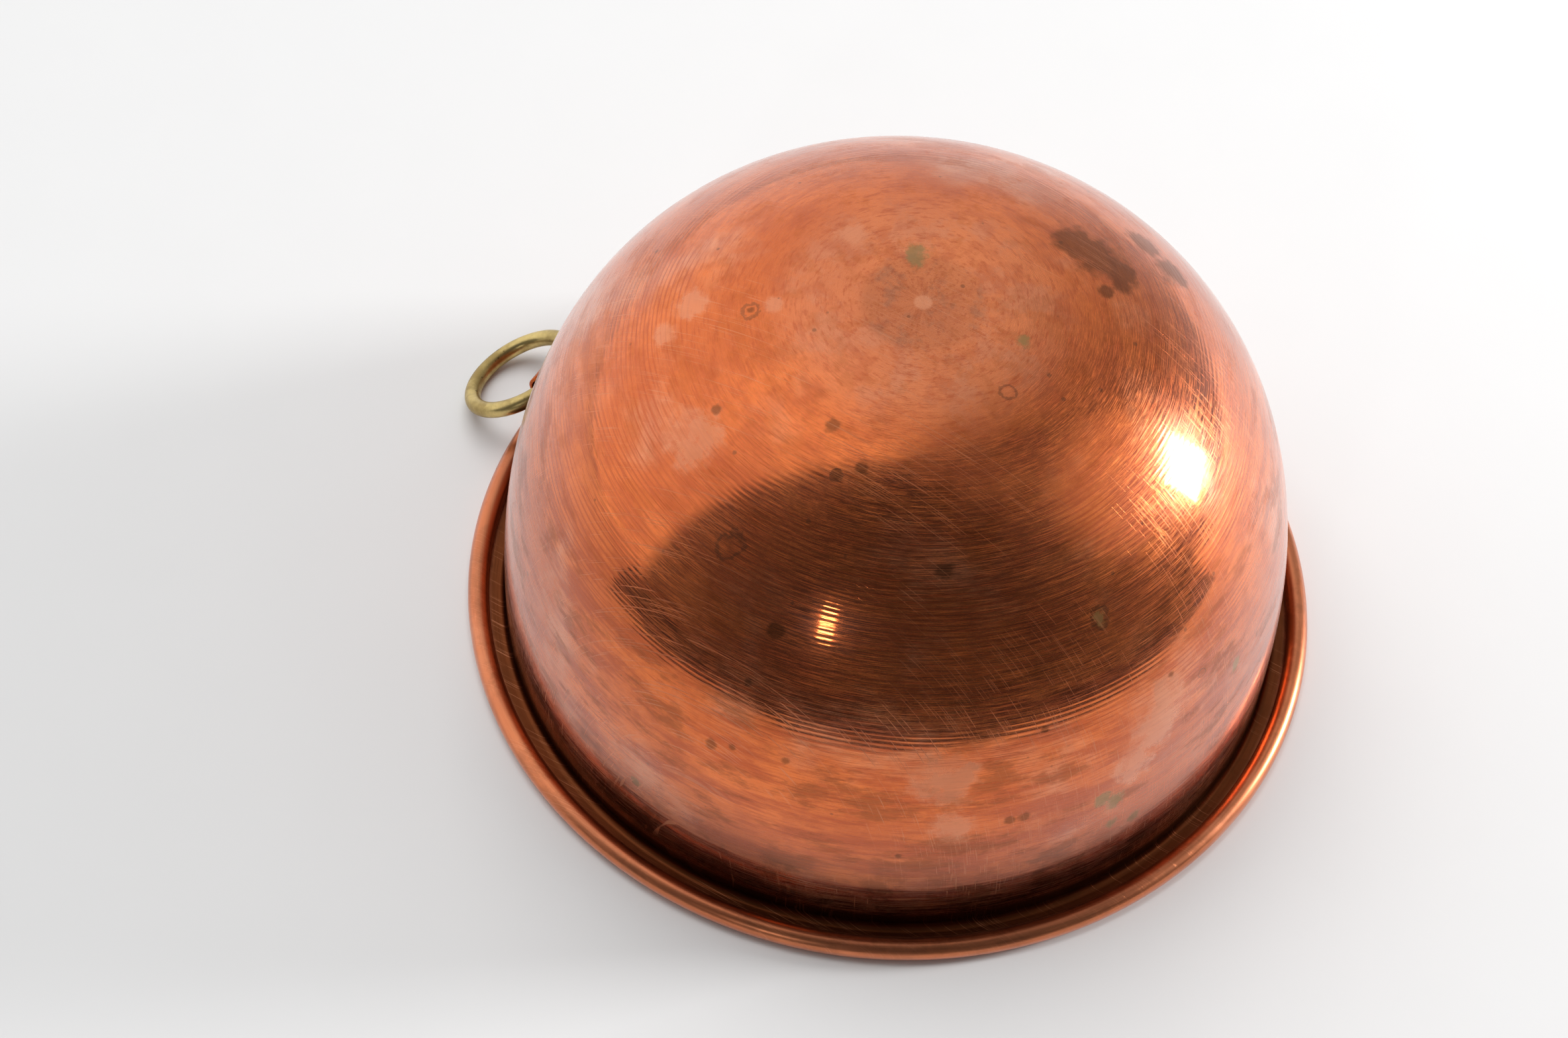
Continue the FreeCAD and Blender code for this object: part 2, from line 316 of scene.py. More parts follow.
def run_length(profile):
    """Distance along a profile from its first point."""
    return np.concatenate([[0.0], np.cumsum(np.linalg.norm(np.diff(profile, axis=0), axis=1))])


def wall_curve(bowl, inset, first_radius, steps):
    """Points down the wall from a radius near the middle of the bottom to the top of the cove.

    The wall is r = R cos(a)^(2/n), z = H sin(a)^(2/n), and each point is moved in along the normal.
    """
    power = 2.0 / bowl.fullness
    cove_top = bowl.sheet + bowl.cove_radius
    start = math.acos((first_radius / bowl.wall_radius) ** (1 / power))
    stop = math.asin((cove_top / bowl.crown_height) ** (1 / power))
    # Closer steps near the bottom's edge keep the points about evenly spaced along the wall.
    turn = start + (stop - start) * np.linspace(0, 1, steps)
    r = bowl.wall_radius * np.cos(turn) ** power
    z = bowl.crown_height * np.sin(turn) ** power
    nr, nz = wall_normal(bowl, r, z)
    return np.stack([r - inset * nr, z - inset * nz], axis=-1)


def shell_profile(bowl):
    """The sheet's section from the middle of the bottom's outside, round the rim, to its inside."""
    cove_top = bowl.sheet + bowl.cove_radius
    cove = (wall_radius_at(bowl, cove_top) + bowl.cove_radius, cove_top)
    bead = (bowl.rim_radius - bowl.bead_radius, bowl.bead_radius)
    roll_end = math.degrees(bowl.bead_wrap) - 90
    outer = wall_curve(bowl, 0.0, bowl.base_radius, 130)
    inner = wall_curve(bowl, bowl.sheet, bowl.base_radius, 90)[::-1]
    inner_flat = bowl.base_height - bowl.sheet
    outer[0, 1] = bowl.base_height
    inner[-1, 1] = inner_flat
    return np.concatenate(
        [
            straight((POLE_GAP, bowl.base_height), outer[0], 8),
            outer,
            arc(cove, bowl.cove_radius, 180, 270, 12)[1:],
            straight((cove[0], bowl.sheet), (bead[0], bowl.sheet), 5)[1:],
            arc(bead, bowl.bead_radius - bowl.sheet, -90, roll_end, 24),
            arc(bead, bowl.bead_radius, roll_end, -90, 44),
            straight((bead[0], 0), (cove[0], 0), 5)[1:],
            arc(cove, bowl.cove_radius + bowl.sheet, 270, 180, 12),
            inner[1:],
            straight(inner[-1], (POLE_GAP, inner_flat), 7)[1:],
        ]
    )


def strap_path(bowl, fitting, top):
    """The middle line of the folded strip, as (r, z), from the top of the inner leaf to the outer's.

    It follows the wall down, goes under and round the eye on a circle, leaves it along a straight
    throat and flows into a line that keeps its distance from the wall: the smooth larger of the two
    radii, (a + b + sqrt((a - b)^2 + c^2)) / 2.
    """
    half = fitting.strap / 2
    eye = (-HINGE.x, HINGE.z)
    radius = -HINGE.x - wall_radius_at(bowl, HINGE.z) - half
    inner = off_wall(bowl, np.linspace(top, HINGE.z, 40), half)
    lean = fitting.throat_angle
    around = arc(eye, radius, 180, 360 + math.degrees(lean), 64)
    z = np.linspace(around[-1, 1], top, 60)
    throat = around[-1, 0] - (z - around[-1, 1]) * math.tan(lean)
    pad = off_wall(bowl, z, half * 3 + fitting.leaf_gap)[:, 0]
    blend = 0.8 * MM
    outer_r = (throat + pad + np.sqrt((throat - pad) ** 2 + blend**2)) / 2
    outer = np.stack([outer_r, z], axis=-1)
    return np.concatenate([inner[:-1], around, outer[1:]])


def rounded_strip(path, half_width, half_thickness, edge, corner):
    """A strip carried along a path in the XZ plane, on the -X side.

    Its section is a rectangle with rounded edges. Towards both ends the half width shrinks on a
    circle, W - c + sqrt(c^2 - (c - s)^2), and in the last edge radius the thickness does the same.
    """
    s = run_length(path)
    whole = s[-1]
    # Extra stations near the ends carry the corner's circle.
    near = corner * (1 - np.cos(np.linspace(0, math.pi / 2, 9)))
    stations = np.unique(np.concatenate([near, s[(s > corner) & (s < whole - corner)], whole - near]))
    path = np.stack([np.interp(stations, s, path[:, k]) for k in (0, 1)], axis=-1)
    heading = np.gradient(path, stations, axis=0)
    heading /= np.linalg.norm(heading, axis=1, keepdims=True)
    side = np.stack([heading[:, 1], -heading[:, 0]], axis=-1)
    from_end = np.minimum(stations, whole - stations)
    bite = np.clip(corner - from_end, 0, None)
    width = half_width - corner + np.sqrt(corner**2 - bite**2)
    soft = np.clip(edge - from_end, 0, None)
    thick = half_thickness - edge + np.sqrt(edge**2 - soft**2)
    quarter = np.linspace(0, math.pi / 2, 5)
    across = np.linspace(-1, 1, 17)[1:-1]
    section = []
    for number, (su, sv) in enumerate(((1, 1), (-1, 1), (-1, -1), (1, -1))):
        turn = number * math.pi / 2 + quarter
        still = np.ones(5)
        section.append([su * still, sv * still, np.cos(turn) - su, np.sin(turn) - sv])
        if su == sv:  # A flat face follows this corner.
            section.append([-su * across, sv + 0 * across, 0 * across, 0 * across])
    u, v, bend_u, bend_v = np.concatenate(section, axis=1)
    y = width[:, None] * u + edge * bend_u
    off = thick[:, None] * v + edge * bend_v
    r = path[:, 0][:, None] + side[:, 0][:, None] * off
    z = path[:, 1][:, None] + side[:, 1][:, None] * off
    return np.stack([-r, y, z], axis=-1), stations


def cap_arc(radius, edge, top, steps):
    """A domed cap's section from its edge to its middle: r = B sin a, z = top - B (1 - cos a)."""
    rise = abs(top - edge)
    ball = (radius**2 + rise**2) / (2 * rise)
    turn = np.linspace(math.asin(radius / ball), 0, steps)
    sign = math.copysign(1.0, top - edge)
    return np.stack([ball * np.sin(turn), top - sign * ball * (1 - np.cos(turn))], axis=-1)


# ---- node helpers -------------------------------------------------------------------------------


class Wiring:
    """Short ways to add and join nodes in one tree."""

    def __init__(self, tree):
        self.tree = tree

    def node(self, kind, **settings):
        made = self.tree.nodes.new(kind)
        for key, value in settings.items():
            setattr(made, key, value)
        return made

    def put(self, source, socket):
        """Joins a socket to a socket, or sets a plain value."""
        if isinstance(source, bpy.types.NodeSocket):
            self.tree.links.new(source, socket)
        else:
            socket.default_value = source

    def math(self, operation, a, b=0.0):
        made = self.node("ShaderNodeMath", operation=operation)
        self.put(a, made.inputs[0])
        self.put(b, made.inputs[1])
        return made.outputs[0]

    def chain(self, operation, first, *rest):
        """The same operation on one value after another."""
        for value in rest:
            first = self.math(operation, first, value)
        return first

    def times(self, *values):
        return self.chain("MULTIPLY", *values)

    def plus(self, *values):
        return self.chain("ADD", *values)

    def most(self, *values):
        return self.chain("MAXIMUM", *values)

    def vector(self, operation, a, b=(0.0, 0.0, 0.0)):
        made = self.node("ShaderNodeVectorMath", operation=operation)
        self.put(a, made.inputs[0])
        self.put(b, made.inputs[1])
        return made.outputs["Value" if operation in ("LENGTH", "DISTANCE", "DOT_PRODUCT") else "Vector"]

    def scaled(self, vector, by):
        made = self.node("ShaderNodeVectorMath", operation="SCALE")
        self.put(vector, made.inputs[0])
        self.put(by, made.inputs["Scale"])
        return made.outputs["Vector"]

    def ramp(self, value, low, high, to_low=0.0, to_high=1.0):
        """value from low..high to to_low..to_high, smoothly and within those limits."""
        made = self.node("ShaderNodeMapRange", interpolation_type="SMOOTHSTEP")
        names = ("Value", "From Min", "From Max", "To Min", "To Max")
        for name, source in zip(names, (value, low, high, to_low, to_high)):
            self.put(source, made.inputs[name])
        return made.outputs["Result"]

    def noise(self, vector, scale, detail=2.0, roughness=0.5):
        made = self.node("ShaderNodeTexNoise")
        self.put(vector, made.inputs["Vector"])
        self.put(scale, made.inputs["Scale"])
        made.inputs["Detail"].default_value = detail
        made.inputs["Roughness"].default_value = roughness
        return made.outputs["Fac"]

    def relief(self, height, depth, under=None):
        """Normals of a height, which is in units of depth, over the normals under it."""
        made = self.node("ShaderNodeBump")
        self.put(height, made.inputs["Height"])
        made.inputs["Distance"].default_value = depth
        if under is not None:
            self.put(under, made.inputs["Normal"])
        return made.outputs["Normal"]

    def mix(self, share_of_b, a, b):
        made = self.node("ShaderNodeMix", data_type="RGBA")
        self.put(share_of_b, made.inputs["Factor"])
        self.put(a if isinstance(a, bpy.types.NodeSocket) else (*a, 1.0), made.inputs["A"])
        self.put(b if isinstance(b, bpy.types.NodeSocket) else (*b, 1.0), made.inputs["B"])
        return made.outputs["Result"]

    def group(self, name, **inputs):
        """A node of the shared group of that name, which is made the first time it is asked for."""
        tree = bpy.data.node_groups.get(name) or MARK_GROUPS[name](name)
        made = self.node("ShaderNodeGroup", node_tree=tree)
        for key, value in inputs.items():
            self.put(value, made.inputs[key.capitalize()])
        return made.outputs


def new_group(name, inputs, outputs):
    """An empty shader group. Its inputs are numbers by their defaults, or vectors where that is None."""
    tree = bpy.data.node_groups.new(name, "ShaderNodeTree")
    for label, default in inputs.items():
        kind = "NodeSocketVector" if default is None else "NodeSocketFloat"
        socket = tree.interface.new_socket(label, in_out="INPUT", socket_type=kind)
        if default is not None:
            socket.default_value = default
    for label in outputs:
        tree.interface.new_socket(label, in_out="OUTPUT", socket_type="NodeSocketFloat")
    wires = Wiring(tree)
    return tree, wires, wires.node("NodeGroupInput").outputs, wires.node("NodeGroupOutput").inputs


def turned_place(w, vector, along, slow, pitch):
    """Where to read noise so that it runs slowly round the axis and changes over one pitch along it."""
    facing = w.vector("NORMALIZE", w.vector("MULTIPLY", vector, (1.0, 1.0, 0.0)))
    rise = w.node("ShaderNodeCombineXYZ")
    w.put(w.math("DIVIDE", along, pitch), rise.inputs["Z"])
    return w.vector("ADD", w.scaled(facing, slow), rise.outputs[0])


def spin_lines_group(name):
    """Marks of spinning: tool lines at an even pitch, short grain and broad bands round the axis."""
    inputs = {"Vector": None, "Along": 0.0, "Pitch": 0.001}
    tree, w, given, out = new_group(name, inputs, ["Lines", "Grain", "Bands"])

    def turned_noise(slow, widths, detail):
        width = w.times(given["Pitch"], widths)
        place = turned_place(w, given["Vector"], given["Along"], slow, width)
        return w.noise(place, 1.0, detail, 0.65)

    drift = w.times(turned_noise(1.2, 9.0, 1.0), 3.0)
    turns = w.plus(w.math("DIVIDE", given["Along"], given["Pitch"]), drift)
    wave = w.math("SINE", w.times(turns, 2 * math.pi))
    depth = w.ramp(turned_noise(1.7, 8.0, 2.0), 0.36, 0.60)
    w.put(w.times(wave, depth), out["Lines"])
    w.put(turned_noise(9.0, 0.6, 3.0), out["Grain"])
    w.put(turned_noise(3.0, 4.0, 5.0), out["Bands"])
    return tree


def scratches_group(name):
    """Thin straight marks in three directions: noise stretched along each, cut off near its peak."""
    tree, w, given, out = new_group(name, {"Vector": None, "Scale": 1.0}, ["Mask"])
    place = w.scaled(given["Vector"], given["Scale"])
    total = None
    for turn in SCRATCH_TURNS:
        mapping = w.node("ShaderNodeMapping")
        w.put(place, mapping.inputs["Vector"])
        mapping.inputs["Rotation"].default_value = turn
        mapping.inputs["Scale"].default_value = SCRATCH_STRETCH
        mark = w.ramp(w.noise(mapping.outputs[0], 1.0, 0.0), 0.70, 0.76)
        patch = w.ramp(w.noise(w.vector("ADD", place, turn), 22.0, 1.0), 0.48, 0.62)
        mark = w.times(mark, patch)
        total = mark if total is None else w.most(total, mark)
    w.put(total, out["Mask"])
    return tree


def specks_group(name):
    """Scattered dots of differing size: the distance to random points, inside a random radius."""
    inputs = {"Vector": None, "Scale": 100.0, "Largest": 0.2}
    tree, w, given, out = new_group(name, inputs, ["Mask"])
    cells = w.node("ShaderNodeTexVoronoi")
    w.put(given["Vector"], cells.inputs["Vector"])
    w.put(given["Scale"], cells.inputs["Scale"])
    pick = w.node("ShaderNodeSeparateColor")
    w.put(cells.outputs["Color"], pick.inputs[0])
    size = w.times(w.ramp(pick.outputs[0], 0.55, 1.0), given["Largest"])
    inside = w.math("SUBTRACT", size, cells.outputs["Distance"])
    w.put(w.ramp(inside, 0.0, 0.05), out["Mask"])
    return tree


def stain_group(name):
    """One ragged blot: the distance from its centre over its radius, shaken by a noise it is given."""
    inputs = {"Vector": None, "Centre": None, "Radius": 0.01, "Shake": 0.0}
    tree, w, given, out = new_group(name, inputs, ["Mask", "Outline"])
    away = w.vector("DISTANCE", given["Vector"], given["Centre"])
    reach = w.plus(w.math("DIVIDE", away, given["Radius"]), given["Shake"])
    w.put(w.ramp(reach, 1.25, 0.55), out["Mask"])
    off_line = w.math("ABSOLUTE", w.math("SUBTRACT", reach, 0.9))
    w.put(w.ramp(off_line, 0.25, 0.10), out["Outline"])
    return tree


MARK_GROUPS = {
    "Spin lines": spin_lines_group,
    "Scratches": scratches_group,
    "Specks": specks_group,
    "Stain": stain_group,
}


def new_material(name):
    """A material with only its shader and output, and the wiring to add to it."""
    material = bpy.data.materials.new(name)
    material.use_nodes = True
    shader = next(n for n in material.node_tree.nodes if n.type == "BSDF_PRINCIPLED")
    return material, Wiring(material.node_tree), shader


def object_place(w):
    return w.node("ShaderNodeTexCoord").outputs["Object"]


def point_on_wall(bowl, azimuth, climb):
    """A point of the wall's outside: its azimuth, and its climb from 0 at the rim to 90 at the top."""
    power = 2.0 / bowl.fullness
    turn, rise = math.radians(azimuth), math.radians(climb)
    r = bowl.wall_radius * math.cos(rise) ** power
    return (r * math.cos(turn), r * math.sin(turn), bowl.crown_height * math.sin(rise) ** power)


def blots(w, bowl, place, shake, spots, output="Mask"):
    """One mask for several marks of the outside."""
    total = None
    for azimuth, climb, radius in spots:
        centre = point_on_wall(bowl, azimuth, climb)
        mask = w.group("Stain", vector=place, centre=centre, radius=radius * MM, shake=shake)[output]
        total = mask if total is None else w.most(total, mask)
    return total


# Marks on the outside, each an azimuth and a climb in degrees and a radius in mm.
PALE_PATCHES = (
    (-118, 59, 9), (-154, 64, 5), (-149, 76, 3), (-147, 60, 4), (158, 80, 5), (-55, 24, 10),
    (-53, 16, 7), (-22, 22, 9), (-26, 18, 7), (-19, 27, 6),
)
GREEN_STAINS = (
    (129, 86, 3.5), (122, 85, 3), (8, 81, 2), (-28, 44, 2), (-29, 13, 3.5), (-31, 14, 3), (-25, 8, 2),
    (-4, 20, 2), (-99, 8, 1.6), (-29, 9, 2),
)
DARK_SPOTS = (
    (-120, 64, 1.5), (-77, 69, 2), (-83, 67, 1.6), (-91, 73, 2), (-83, 43, 2.4), (-55, 56, 2.5),
    (-88, 22, 1.8), (-85, 34, 1.2), (-85, 23, 1.2), (-77, 24, 1.4), (-18, 29, 1.2), (-60, 11, 1.3),
    (-43, 16, 2), (-45, 16, 1.6), (-148, 73, 1.2), (-40, 30, 1.2),
)
# Painted dark reflections of things in the room, on the upper right of the wall, each an azimuth and a
# climb in degrees and a radius in mm.
DARK_REFLECTION_PATCHES = (
    (63, 70, 8), (57, 68, 9), (51, 66, 6), (46, 67, 3.5), (43, 70, 2.5), (62, 56, 6), (54, 54, 6),
)
WATER_RINGS = (
    (-148, 73, 2.8), (-83, 67, 1.8), (-21, 78, 2.2), (-12, 25, 1.3), (-97, 51, 4), (-28, 44, 2.8),
)


def spun_copper(bowl, finish, groove_at, inside_from):
    """Old polished copper: tool lines, grain, brown clouds, dull areas, stains and hairlines, with
    painted shade at the rim's groove and painted dark reflections on the wall.

    groove_at and inside_from are where the rim's groove and the bowl's inside lie along the section.
    """
    material, w, shader = new_material("spun copper")
    place = object_place(w)
    along = w.node("ShaderNodeAttribute", attribute_name="along").outputs["Fac"]
    spin = w.group("Spin lines", vector=place, along=along, pitch=TOOL_PITCH)
    marks = w.group("Scratches", vector=place, scale=1.0)["Mask"]
    specks = w.group("Specks", vector=place, scale=150.0, largest=0.13)["Mask"]
    outside = w.math("LESS_THAN", along, groove_at)
    # The inside is kept cleaner.
    age = w.ramp(along, inside_from, inside_from + MM, 1.0, 0.35)

    clouds = w.ramp(w.noise(place, 16.0, 5.0, 0.62), 0.40, 0.66)
    mottle = w.ramp(w.noise(place, 75.0, 6.0, 0.72), 0.45, 0.62)
    dull = w.ramp(w.noise(w.vector("ADD", place, (3.0, 1.0, 7.0)), 24.0, 5.0, 0.6), 0.50, 0.72)
    # Handling has dulled the crown in a ring round the flat.
    crown = w.ramp(along, *CROWN_DULL, 0.0, 0.8)
    dull = w.most(dull, w.times(crown, w.ramp(mottle, 0.0, 1.0, 0.6, 1.0)))
    shake = w.times(w.math("SUBTRACT", w.noise(place, 170.0, 5.0, 0.7), 0.5), 2.2)

    def on_wall(spots, shaken=shake, output="Mask"):
        return w.times(blots(w, bowl, place, shaken, spots, output), outside)

    pale = w.times(on_wall(PALE_PATCHES), w.ramp(mottle, 0.0, 1.0, 1.0, 0.55))
    green = on_wall(GREEN_STAINS, w.times(shake, 1.6))
    spots = on_wall(DARK_SPOTS)
    # Painted dark reflections of things in the room.
    reflection_patches = on_wall(DARK_REFLECTION_PATCHES)
    rings = on_wall(WATER_RINGS, output="Outline")
    # Near the groove the copper is painted darker: painted shade in the groove itself, and above it a
    # brown band of painted shade and painted reflection of the groove, mottled like tarnish.
    from_groove = w.math("ABSOLUTE", w.math("SUBTRACT", along, groove_at))
    groove = w.ramp(from_groove, *GROOVE_SHADE_REACH)
    tarnish_and_shade_band = w.times(w.ramp(from_groove, *SHADE_BAND_REACH), w.ramp(mottle, 0.0, 1.0, 0.55, 0.85))
    rim = w.times(w.ramp(along, groove_at + 2 * MM, groove_at + 5 * MM), age)
    low = w.ramp(along, *LOW_WALL)
    bands = w.times(w.ramp(spin["Bands"], 0.47, 0.62), w.ramp(low, 0.0, 1.0, 0.4, 0.85))
    worn = w.ramp(w.noise(turned_place(w, place, along, 4.0, STREAK_PITCH), 1.0, 6.0, 0.7), 0.50, 0.62)
    lines = w.times(spin["Lines"], w.ramp(along, *TOOL_LINES_START, 0.15, 1.0))
    lines = w.times(lines, w.ramp(along, *TOOL_LINES_FADE, 1.0, 0.45))
    flat = w.ramp(along, bowl.base_radius * 1.15, bowl.base_radius * 0.9, 0.0, 0.42)

    # Each layer covers a share of the ones before it.
    layers = (
        (w.times(clouds, age, 0.55), finish.copper_deep),
        (w.times(mottle, age, 0.38), finish.copper_deep),
        (w.times(dull, age, 0.6), finish.copper_pale),
        (bands, finish.copper_deep),
        (w.times(worn, w.ramp(low, 0.0, 1.0, 0.2, 0.7)), finish.patina),
        (w.ramp(spin["Grain"], 0.52, 0.66, 0.0, 0.55), finish.copper_deep),
        (w.ramp(lines, 0.1, 0.8, 0.0, 0.7), finish.copper_deep),
        # The pressed flat is darker, with a bright dot where the tail centre bore on it.
        (w.times(flat, w.ramp(mottle, 0.0, 1.0, 0.5, 1.0)), finish.oxide_shade_and_reflection),
        (w.ramp(along, *TAIL_DOT, 0.0, 0.6), finish.copper_pale),
        # Painted dark reflections of things in the room, in a tarnish brown.
        (w.times(reflection_patches, 0.7), finish.oxide_shade_and_reflection),
        (w.times(pale, 0.45), finish.copper_pale),
        (w.times(specks, age, 0.55), finish.oxide_shade_and_reflection),
        (w.times(spots, 0.65), finish.oxide_shade_and_reflection),
        (w.times(rings, 0.5), finish.oxide_shade_and_reflection),
        (w.times(green, 0.70), finish.verdigris),
        (w.times(rim, 0.6), finish.rim_copper),
        # A brown band up the wall from the groove: painted shade and a painted reflection of the dark
        # groove, mottled like tarnish.
        (tarnish_and_shade_band, finish.oxide_shade_and_reflection),
        # Painted shade in the groove of the rim.
        (w.times(groove, 0.9), finish.groove_shade),
        (w.times(marks, 0.35), finish.copper_pale),
    )
    tint = finish.copper
    for cover, colour_of_layer in layers:
        tint = w.mix(cover, tint, colour_of_layer)
    w.put(tint, shader.inputs["Base Color"])
    shader.inputs["Metallic"].default_value = 1.0

    # Hairlines round the bowl lie between polished metal.
    fine = w.noise(turned_place(w, place, along, 9.0, HAIRLINE_PITCH), 1.0, 4.0, 0.75)
    middle = 0.5 + 0.3 * (0.5 - finish.hairline_share)
    rough = w.ramp(fine, middle - 0.05, middle + 0.05, finish.polish, finish.hairline_roughness)
    rough = w.plus(rough, w.times(dull, age, 0.08))
    for mask, least in ((w.most(pale, green), 0.36), (rim, 0.3), (marks, 0.35), (groove, 0.3)):
        rough = w.most(rough, w.times(mask, least))
    w.put(rough, shader.inputs["Roughness"])
    shader.inputs["Anisotropic"].default_value = finish.spin_stretch
    shader.inputs["Anisotropic Rotation"].default_value = 0.25

    # A thin film of dust and grease, thicker where the copper is dull, pales it at glancing views.
    film = w.ramp(w.most(dull, pale), 0.0, 1.0, finish.film * 0.65, finish.film)
    bare = w.most(tarnish_and_shade_band, groove, w.times(worn, 0.4), w.times(w.most(reflection_patches, spots), 0.6))
    film = w.times(film, w.math("SUBTRACT", 1.0, bare))
    glancing = w.node("ShaderNodeLayerWeight").outputs["Facing"]
    w.put(w.times(film, w.ramp(glancing, 0.30, 0.62, 0.25, 1.0)), shader.inputs["Coat Weight"])
    shader.inputs["Coat Roughness"].default_value = 0.3
    shader.inputs["Coat IOR"].default_value = finish.film_index

    # Hand finishing has left the wall very slightly uneven under its fine marks.
    swell = w.relief(w.noise(place, 24.0, 3.0, 0.45), SWELL_DEPTH)
    height = w.plus(w.times(lines, 0.9), w.times(spin["Grain"], 0.8))
    height = w.plus(height, w.times(marks, -0.6), w.times(spots, -0.8))
    w.put(w.relief(height, TOOL_DEPTH, swell), shader.inputs["Normal"])
    return material


def plain_copper(name, finish, grain):
    """Satin copper of the strip and the rivets: soft clouds, thin marks and a fine grain."""
    material, w, shader = new_material(name)
    place = object_place(w)
    clouds = w.ramp(w.noise(place, grain, 4.0, 0.6), 0.35, 0.7)
    marks = w.group("Scratches", vector=place, scale=2.0)["Mask"]
    tint = w.mix(clouds, finish.copper, finish.copper_deep)
    tint = w.mix(w.times(marks, 0.5), tint, finish.copper_pale)
    w.put(tint, shader.inputs["Base Color"])
    shader.inputs["Metallic"].default_value = 1.0
    w.put(w.ramp(clouds, 0.0, 1.0, 0.26, 0.38), shader.inputs["Roughness"])
    w.put(w.relief(w.noise(place, 900.0, 3.0), GRAIN_DEPTH), shader.inputs["Normal"])
    return material


def aged_brass(finish):
    """Brass gone olive with handling: mottled, pitted with dark specks and rubbed in places."""
    material, w, shader = new_material("aged brass")
    place = object_place(w)
    mottle = w.ramp(w.noise(place, 60.0, 6.0, 0.68), 0.38, 0.66)
    grit = w.noise(place, 900.0, 3.0, 0.7)
    specks = w.group("Specks", vector=place, scale=420.0, largest=0.22)["Mask"]
    tint = w.mix(mottle, finish.brass, finish.brass_aged)
    tint = w.mix(w.ramp(grit, 0.5, 0.75, 0.0, 0.35), tint, finish.brass_aged)
    tint = w.mix(w.times(specks, 0.6), tint, BRASS_PIT)
    w.put(tint, shader.inputs["Base Color"])
    shader.inputs["Metallic"].default_value = 1.0
    rough = w.ramp(mottle, 0.0, 1.0, finish.brass_polish, finish.brass_polish + 0.12)
    w.put(rough, shader.inputs["Roughness"])
    w.put(w.relief(grit, PIT_DEPTH), shader.inputs["Normal"])
    return material


def drawn_steel():
    """Dull drawn wire, which is hidden inside the bead."""
    material, w, shader = new_material("drawn steel")
    place = object_place(w)
    w.put(w.mix(w.noise(place, 200.0), STEEL_DARK, STEEL_LIGHT), shader.inputs["Base Color"])
    shader.inputs["Metallic"].default_value = 1.0
    shader.inputs["Roughness"].default_value = 0.45
    return material


def finish_piece(piece, material, body, slot, *nodes):
    """Gives a new piece its material and its body, and hides the CAD nodes it stands for. The slot is
    not used.
    """
    piece.data.materials.append(material)
    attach(piece, body)
    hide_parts(*nodes)


# ---- operators ----------------------------------------------------------------------------------


class BOWL_OT_shell(bpy.types.Operator):
    """Makes the spun bowl with its rolled rim"""

    bl_idname = "bowl.shell"
    bl_label = "Bowl"

    def execute(self, context):
        bowl, finish = context.scene.bowl_sizes, context.scene.bowl_finish
        profile = shell_profile(bowl)
        poles = [(0, 0, bowl.base_height), (0, 0, bowl.base_height - bowl.sheet)]
        along = run_length(profile) + profile[0, 0]
        grid = lathe(profile, bowl.sides)
        piece = surface_object("spun_bowl", grid, poles=poles, along=along, sharp=50)
        groove_at = along[np.argmax(profile[:, 1] < bowl.sheet + bowl.cove_radius / 2)]
        inside_from = along[np.argmax(profile[:, 1] < 1e-6)]
        copper = spun_copper(bowl, finish, float(groove_at), float(inside_from))
        finish_piece(piece, copper, "bowl", "copper", "bowl_shell")
        return {"FINISHED"}


class BOWL_OT_rim_wire(bpy.types.Operator):
    """Gives the wire inside the bead its steel"""

    bl_idname = "bowl.rim_wire"
    bl_label = "Rim wire"

    def execute(self, context):
        wire = frame["nodes"]["rim_wire"]
        wire.data.materials.clear()
        wire.data.materials.append(drawn_steel())
        return {"FINISHED"}


class BOWL_OT_lug(bpy.types.Operator):
    """Makes the strip that is folded round the ring"""

    bl_idname = "bowl.lug"
    bl_label = "Lug"

    def execute(self, context):
        bowl, fitting = context.scene.bowl_sizes, context.scene.fitting_sizes
        path = strap_path(bowl, fitting, LUG_HIGH.z - LUG_TOP_GAP)
        grid, stations = rounded_strip(
            path, fitting.strap_width / 2, fitting.strap / 2, fitting.strap_edge, fitting.strap_corner
        )
        # The leaves are pressed to the round wall, so they bend in by y^2 / 2R above the eye.
        pressed = np.clip((grid[..., 2] - HINGE.z) / (10 * MM), 0, 1)
        grid[..., 0] += pressed * grid[..., 1] ** 2 / (2 * bowl.wall_radius)
        poles = [grid[0].mean(axis=0), grid[-1].mean(axis=0)]
        piece = surface_object("folded_lug", grid, poles=poles, along=stations, sharp=50)
        material = plain_copper("lug copper", context.scene.bowl_finish, 120.0)
        finish_piece(piece, material, "bowl", "lug_copper", "ring_lug")
        return {"FINISHED"}


